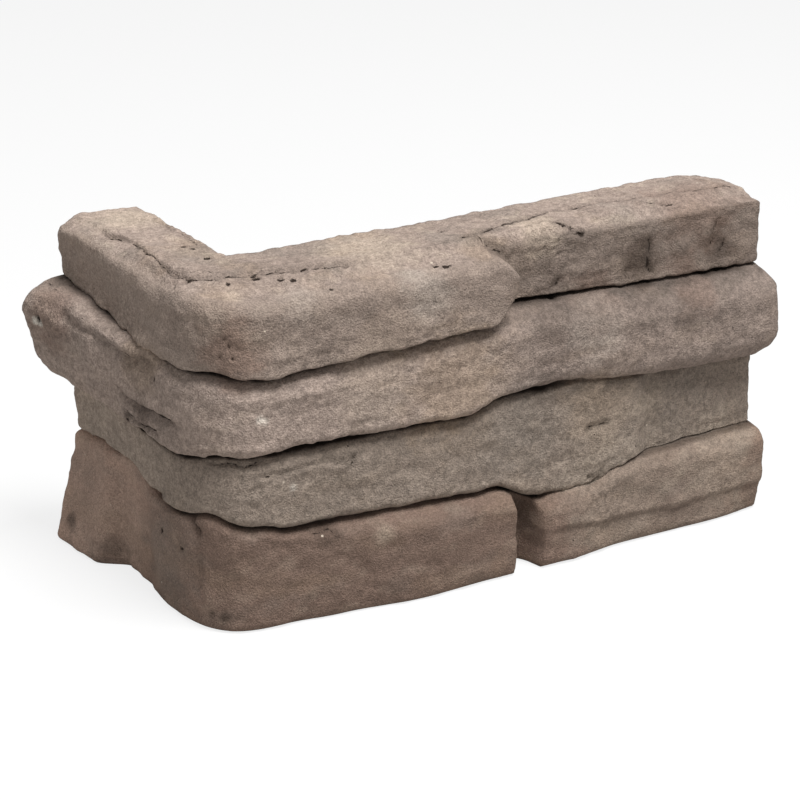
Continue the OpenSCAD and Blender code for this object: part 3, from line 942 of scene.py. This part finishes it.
    def skin(self) -> Skin:
        """Works out the whole skin as closed loops: underside, beds, top and backs."""
        w = self.columns()
        s = np.linspace(0, 1, self.bed_rows, endpoint=False)
        v = (1 - self.edge_bunching) * s + self.edge_bunching * (1 - np.cos(np.pi * s)) / 2
        faces, joints = zip(*(self.bed_skin(bed, w, v) for bed in range(len(self.bed_heights))))
        top = self.top_skin(w)
        foot_edge = faces[0][:, :1]
        back_top = top[:, -1:]
        back_foot = back_top * np.array([1, 1, 0])
        under = np.linspace(0, 1, self.foot_rows, endpoint=False)[None, :, None]
        down = (np.linspace(0, 1, self.back_rows + 1)[1:] ** 2)[None, :, None]
        rows = [
            back_foot + (foot_edge - back_foot) * under,
            *faces,
            top,
            back_top + (back_foot - back_top) * down,
        ]
        points = np.concatenate(rows, axis=1)
        joint = np.zeros(points.shape[:2])
        joint[:, self.foot_rows : self.foot_rows + len(faces) * self.bed_rows] = np.concatenate(joints, axis=1)
        return Skin(points, joint)

    def weathered(self, skin: Skin) -> tuple[np.ndarray, np.ndarray]:
        """Roughens the skin as split stone and sets its cracks and air holes.

        Args:
            skin: the smooth skin.

        Returns:
            The rough skin, and the relief at each point in millimetres.
        """
        points, joint, normal = skin.points, skin.joint, skin.normals.copy()
        broad = skin.noise((26, 26, 15), 3.1, 2)
        lumps = skin.noise((9, 9, 5.5), 11.7, 3)
        layers = skin.noise((34, 34, 2.6), 29.3, 2)
        crumbs = skin.noise((2.4, 2.4, 2.0), 47.9, 2)
        sand = self.sandiness(skin)
        upright = 1 - np.abs(normal[..., 2])
        relief = (0.45 * broad + 0.25 * lumps) * (1 - 0.65 * joint)
        relief = relief + 0.17 * layers * upright * sand + 0.16 * crumbs * sand**1.5
        for crack in CRACKS:
            far, side = skin.near_path(crack)
            relief = relief - crack.depth * np.exp(-((far / crack.width) ** 2)) + side
        for pit in PITS:
            off = skin.distance(pit.at) / pit.radius
            relief = relief - pit.depth * np.clip(1 - off**2, 0, 1)
        first_back = self.foot_rows + len(self.bed_heights) * self.bed_rows + self.top_rows
        hold = smooth(points[..., 2], 0.0, 1.5) * self.face_rows(skin)
        relief = relief * hold
        normal[:, first_back - 1] = (0, 0, 1)
        shift = np.stack([skin.noise((self.warp_size,) * 3, seed, 3) for seed in (7.7, 17.7, 27.7)], axis=-1)
        shift = shift * (self.warp * hold)[..., None]
        shift[:, first_back - 1, :2] = 0
        rough = points + normal * relief[..., None] + shift
        rough[..., 2] = np.maximum(rough[..., 2], 0)
        return rough, relief

    def row_values(self, points: np.ndarray, values: tuple) -> np.ndarray:
        """Gives each grid row the value of its bed, or of the top for the rows beyond the beds."""
        return np.array(values)[self.row_beds(points)][None]

    def row_beds(self, points: np.ndarray) -> np.ndarray:
        """Number of the bed of each grid row, with one more for the top and the backs."""
        rows = np.arange(points.shape[1]) - self.foot_rows
        return np.clip(rows // self.bed_rows, 0, len(self.bed_heights))

    def sandiness(self, skin: Skin) -> np.ndarray:
        """Tells how coarse the skin is at each point, from 0 to about 2.5."""
        patchy = skin.noise((18, 18, 12), 55.1, 3)
        sand = np.clip(self.row_values(skin.points, self.bed_sand) + 0.35 * patchy, 0.1, 1.2)
        for rough in ROUGHS:
            off = skin.distance(rough.at) / rough.radius + 0.3 * patchy
            sand = sand + rough.strength * (1 - smooth(off, 0.3, 1.0))
        return sand

    def pigment(self, skin: Skin, relief: np.ndarray) -> tuple[np.ndarray, dict]:
        """Works out the skin's colour with its painted light and shade, and how dirty and shaded, split and sandy it
        is.

        Args:
            skin: the smooth skin.
            relief: height of the rough skin over the smooth one.

        Returns:
            Linear colours with alpha, and the values of each named attribute.
        """
        points, joint = skin.points, skin.joint
        colours = tuple(linear(c)[:3] for c in self.bed_colours)
        w = np.broadcast_to(self.columns()[:, None], joint.shape)
        # Each bed's colour is scaled along the face; this holds painted light and shade as well as the stone's own
        # tone.
        tones_and_light = np.stack([eased(pairs, w[:, 0]) for pairs in self.bed_tones_and_painted_light], axis=1)
        tint = self.row_values(points, colours) * tones_and_light[:, self.row_beds(points)][..., None]
        ochre = skin.noise((24, 24, 12), 71.3, 4)
        grey = skin.noise((17, 17, 9), 83.9, 4)
        pale = skin.noise((7, 7, 4), 97.1, 4)
        mottle = self.row_values(points, self.bed_mottle)
        for field_, ground, low, high, most in (
            (ochre, Ground.OCHRE, 0.0, 0.6, 0.14),
            (grey, Ground.GREY, 0.0, 0.6, 0.18),
            (pale, Ground.PALE, 0.15, 0.7, 0.10),
            (-pale, Ground.DARK, 0.2, 0.8, 0.10),
        ):
            share = (smooth(field_, low, high) * most * mottle)[..., None]
            tint = tint * (1 - share) + np.array(linear(ground.value)[:3]) * share
        for patch in PATCHES:
            off = skin.distance(patch.at) / patch.radius + 0.35 * pale
            share = (patch.strength * (1 - smooth(off, 0.3, 1.0)))[..., None]
            tint = tint * (1 - share) + np.array(linear(patch.ground.value)[:3]) * share
        tint = tint * (1 + 0.12 * np.clip(relief, -1, 1))[..., None]
        grime_and_shade = np.zeros(joint.shape)
        # Painted shade with dirt: a dark band at each joint line and over the deepest part of its slot.
        for number in range(1, len(self.bed_heights)):
            above = points[..., 2] - self.joint_z(number, w)
            near = np.exp(-((above / 3) ** 2))
            tight_shade = np.exp(-((above / np.where(above > 0, 0.35, 1.1)) ** 2))
            deep_shade = np.maximum(smooth(joint, 0.75, 1.0) * near, tight_shade)
            grime_and_shade = np.maximum(grime_and_shade, eased(self.joint_dirt_and_shade[number - 1], w) * deep_shade * (self.row_beds(points) < 4))
            # Painted shadow, partly dirt, on the bed just under the joint.
            soft = np.exp(-np.abs(above) / self.soft_shadow_reach) * (above < 0)
            soft = soft * eased(self.soft_shadow_and_dirt[number - 1], w) * (1 + 0.8 * pale)
            tint = tint * (1 - 0.8 * np.clip(soft, 0, 1))[..., None]
        # The split attribute draws painted shade: a dark line along each crack and a dark dot in each pit.
        split = np.zeros(joint.shape)
        for crack in CRACKS:
            far = skin.near_path(crack)[0]
            split = np.maximum(split, (0.84 + 0.16 * crack.shade) * (1 - far / SPLIT_REACH))
            halo = self.crack_dirt * max(crack.shade, 0) * np.clip(1 - far / SPLIT_REACH, 0, 1) ** 2
            tint = tint * (1 - halo * (1 + pale))[..., None]
        for pit in PITS:
            off = skin.distance(pit.at)
            near = 1 - np.maximum(off - self.pit_core * pit.radius, 0) / SPLIT_REACH
            split = np.maximum(split, (0.84 + 0.16 * pit.shade) * near)
            grime_and_shade = np.maximum(grime_and_shade, self.pit_shade_and_dirt * np.clip(1.5 - 0.5 * off / pit.radius, 0, 1))
        sand = self.sandiness(skin)
        hidden = ~self.face_rows(skin)
        tint[:, hidden] = linear(self.plain_colour)[:3]
        sand[:, hidden] = self.plain_sand
        grime_and_shade[:, hidden], split[:, hidden] = 0, 0
        alpha = np.ones((*joint.shape, 1))
        return np.concatenate([tint, alpha], axis=-1), {"grime_and_shade": grime_and_shade, "split": split, "sand": sand}

    def face_rows(self, skin: Skin) -> np.ndarray:
        """Tells which grid rows belong to the beds' faces and the top."""
        rows = np.arange(skin.points.shape[1])
        return (rows >= self.foot_rows) & (rows < self.foot_rows + self.bed_rows * len(self.bed_heights) + self.top_rows)

    def cap(self, ring: np.ndarray, sign: int) -> np.ndarray:
        """Closes one end of the skin, level by level so that no part of it folds over a joint.

        Args:
            ring: the skin's last loop of points.
            sign: 1 for the long leg's end, along X, and -1 for the return's end, along Y.

        Returns:
            Loops as columns by rows, from the outer one to the hub.
        """
        axis, across = (0, 1) if sign > 0 else (1, 0)
        plane = self.long_leg if sign > 0 else self.return_leg
        core = ring.copy()
        core[:, axis] = plane
        core[:, across] = -np.clip(-ring[:, across], self.core_edge, self.core_depth)
        core[:, 2] = np.clip(ring[:, 2], self.core_edge, ring[:, 2].max() - self.core_edge)
        hub = np.zeros(3)
        hub[axis], hub[across], hub[2] = plane, -self.core_depth / 2, self.height / 2
        across_steps = np.linspace(0, 1, self.cap_columns - 1)[1:]
        loops = [ring + (core - ring) * share for share in across_steps]
        for loop, share in zip(loops, across_steps):
            relief = self.cap_relief * cloud(loop, (7, 7, 7), 61.7, 3) * np.sin(np.pi * share)
            loop[:, axis] = plane + (ring[:, axis] - plane) * (1 - share) ** 3 + relief
        loops += [core + (hub - core) * share for share in (0.5, 1)]
        return np.array(loops)

    def spread(self, values: np.ndarray, inner: np.ndarray | float) -> np.ndarray:
        """Carries the skin's values over the two caps, where they fade to a plain one.

        Args:
            values: values of the skin's points as columns by rows.
            inner: the plain value.

        Returns:
            Values for all columns of the mesh.
        """
        fade = np.linspace(0, 1, self.cap_columns + 1)[1:] ** 0.5
        start, end = (
            np.array([column * (1 - f) + np.broadcast_to(inner, column.shape) * f for f in fade])
            for column in (values[0], values[-1])
        )
        return np.concatenate([start[::-1], values, end])

    def mesh(self) -> bpy.types.Mesh:
        """Builds the closed mesh of the casting.

        Returns:
            The mesh in metres, with the attributes pigment and grime, which hold painted light and shade as well as
            the stone's colour and dirt.
        """
        skin = self.skin()
        rough, relief = self.weathered(skin)
        colour, marks = self.pigment(skin, relief)
        face = slice(self.foot_rows, self.foot_rows + len(self.bed_heights) * self.bed_rows)
        for column in (rough[0], rough[-1]):
            column[face, 2] = np.maximum.accumulate(column[face, 2])
        start, end = self.cap(rough[0], -1)[::-1], self.cap(rough[-1], 1)
        places = np.concatenate([start, rough, end]) * MM
        colour = self.spread(colour, np.array(linear(self.plain_colour)))
        marks = {name: self.spread(values, self.plain_sand if name == "sand" else 0) for name, values in marks.items()}
        columns, rows = places.shape[:2]
        sheet = bmesh.new()
        bmesh.ops.create_grid(sheet, x_segments=columns - 1, y_segments=rows - 1, size=1)
        for name in marks:
            sheet.verts.layers.float.new(name)
        colour_layer = sheet.verts.layers.float_color.new("pigment")
        mark_layers = [(sheet.verts.layers.float[name], values) for name, values in marks.items()]
        for vertex in sheet.verts:
            i = round((vertex.co.x + 1) / 2 * (columns - 1))
            j = round((vertex.co.y + 1) / 2 * (rows - 1))
            vertex[colour_layer] = colour[i, j]
            for layer, values in mark_layers:
                vertex[layer] = values[i, j]
            vertex.co = places[i, j]
        bmesh.ops.remove_doubles(sheet, verts=sheet.verts, dist=0.002 * MM)
        bmesh.ops.recalc_face_normals(sheet, faces=sheet.faces)
        mesh = bpy.data.meshes.new(PIECE + "_skin")
        sheet.to_mesh(mesh)
        sheet.free()
        mesh.shade_smooth()
        return mesh

    def build(self, finish: CastStone) -> bpy.types.Object:
        """Builds the casting, dresses it and sets it on the frame.

        Args:
            finish: the stone's finish.

        Returns:
            The finished piece.
        """
        piece = bpy.data.objects.new(PIECE + "_skin", self.mesh())
        bpy.context.scene.collection.objects.link(piece)
        piece.data.materials.append(finish.build())
        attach(piece, "root")
        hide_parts(PIECE)
        return piece


@dataclass(frozen=True)
class Studio:
    """Plain floor, soft lamps and the camera, which stands where the photograph was taken."""

    camera_mm: Point = (-263.36, -527.69, 262.42)
    azimuth: float = -31.164
    elevation: float = 19.291
    lens: float = 100
    floor_size: float = 6.0
    key_energy: float = 17
    key_size: float = 0.55
    fill_energy: float = 0.6
    sky: float = 0.35

    def build(self) -> None:
        """Builds the floor, the lamps, the world and the camera."""
        self.floor()
        self.lamp("key", (0.16, -0.42, 1.15), self.key_size, self.key_energy)
        self.lamp("fill", (-0.7, -1.0, 0.5), 1.0, self.fill_energy)
        self.world()
        self.camera()

    def floor(self) -> None:
        """Builds the floor, which is white to the camera and keeps the shadow."""
        grid = bmesh.new()
        bmesh.ops.create_grid(grid, x_segments=1, y_segments=1, size=self.floor_size / 2)
        mesh = bpy.data.meshes.new("floor")
        grid.to_mesh(mesh)
        grid.free()
        floor = bpy.data.objects.new("floor", mesh)
        bpy.context.scene.collection.objects.link(floor)
        material = bpy.data.materials.new("white_board")
        material.use_nodes = True
        tree = material.node_tree
        tree.nodes.clear()
        rays = add_node(tree, "ShaderNodeLightPath", {}, {})
        shade = add_node(
            tree,
            "ShaderNodeMix",
            {"data_type": "RGBA", 6: linear("#b4b2b0"), 7: linear("#f7f7f7")},
            {0: rays.outputs["Is Camera Ray"]},
        )
        matt = add_node(tree, "ShaderNodeBsdfDiffuse", {}, {"Color": shade.outputs[2]})
        glow = add_node(
            tree,
            "ShaderNodeEmission",
            {"Color": linear("#ffffff"), "Strength": 1.0},
            {},
        )
        half = add_node(tree, "ShaderNodeMath", {"operation": "MULTIPLY", 1: 0.8}, {0: rays.outputs["Is Camera Ray"]})
        both = add_node(
            tree,
            "ShaderNodeMixShader",
            {},
            {0: half.outputs[0], 1: matt.outputs[0], 2: glow.outputs[0]},
        )
        add_node(tree, "ShaderNodeOutputMaterial", {}, {"Surface": both.outputs[0]})
        mesh.materials.append(material)

    def lamp(self, name: str, place: Point, size: float, energy: float) -> None:
        """Adds a soft square lamp.

        Args:
            name: the lamp's name.
            place: its place in metres.
            size: its side in metres.
            energy: its power in watts.
        """
        data = bpy.data.lights.new(name, "AREA")
        data.shape = "SQUARE"
        data.size = size
        data.energy = energy
        lamp = bpy.data.objects.new(name, data)
        lamp.location = place
        target = Vector((0.05, 0, 0.05))
        lamp.rotation_euler = (target - lamp.location).to_track_quat("-Z", "Y").to_euler()
        bpy.context.scene.collection.objects.link(lamp)

    def world(self) -> None:
        """Sets an even sky, which is white to the camera."""
        world = bpy.data.worlds.new("studio")
        world.use_nodes = True
        tree = world.node_tree
        tree.nodes.clear()
        rays = add_node(tree, "ShaderNodeLightPath", {}, {})
        even = add_node(tree, "ShaderNodeBackground", {"Color": linear("#ffffff"), "Strength": self.sky}, {})
        white = add_node(tree, "ShaderNodeBackground", {"Color": linear("#ffffff"), "Strength": 1.0}, {})
        both = add_node(
            tree,
            "ShaderNodeMixShader",
            {},
            {0: rays.outputs["Is Camera Ray"], 1: even.outputs[0], 2: white.outputs[0]},
        )
        add_node(tree, "ShaderNodeOutputWorld", {}, {"Surface": both.outputs[0]})
        bpy.context.scene.world = world

    def camera(self) -> None:
        """Sets the camera at the photograph's place and angle."""
        data = bpy.data.cameras.new("camera")
        data.lens = self.lens
        data.clip_start, data.clip_end = 0.05, 20
        camera = bpy.data.objects.new("camera", data)
        camera.location = Vector(self.camera_mm) * MM
        camera.rotation_euler = Euler((math.radians(90 - self.elevation), 0, math.radians(self.azimuth)))
        bpy.context.scene.collection.objects.link(camera)
        bpy.context.scene.camera = camera


def main() -> None:
    """Builds the piece and its studio."""
    logging.basicConfig(level=logging.INFO, format="%(message)s")
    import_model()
    piece = CladdingCorner().build(CastStone())
    LOG.info("%s: %d vertices, %d faces", piece.name, len(piece.data.vertices), len(piece.data.polygons))
    Studio().build()
    bpy.context.scene.view_settings.view_transform = "Standard"


if __name__ == "__main__":
    main()
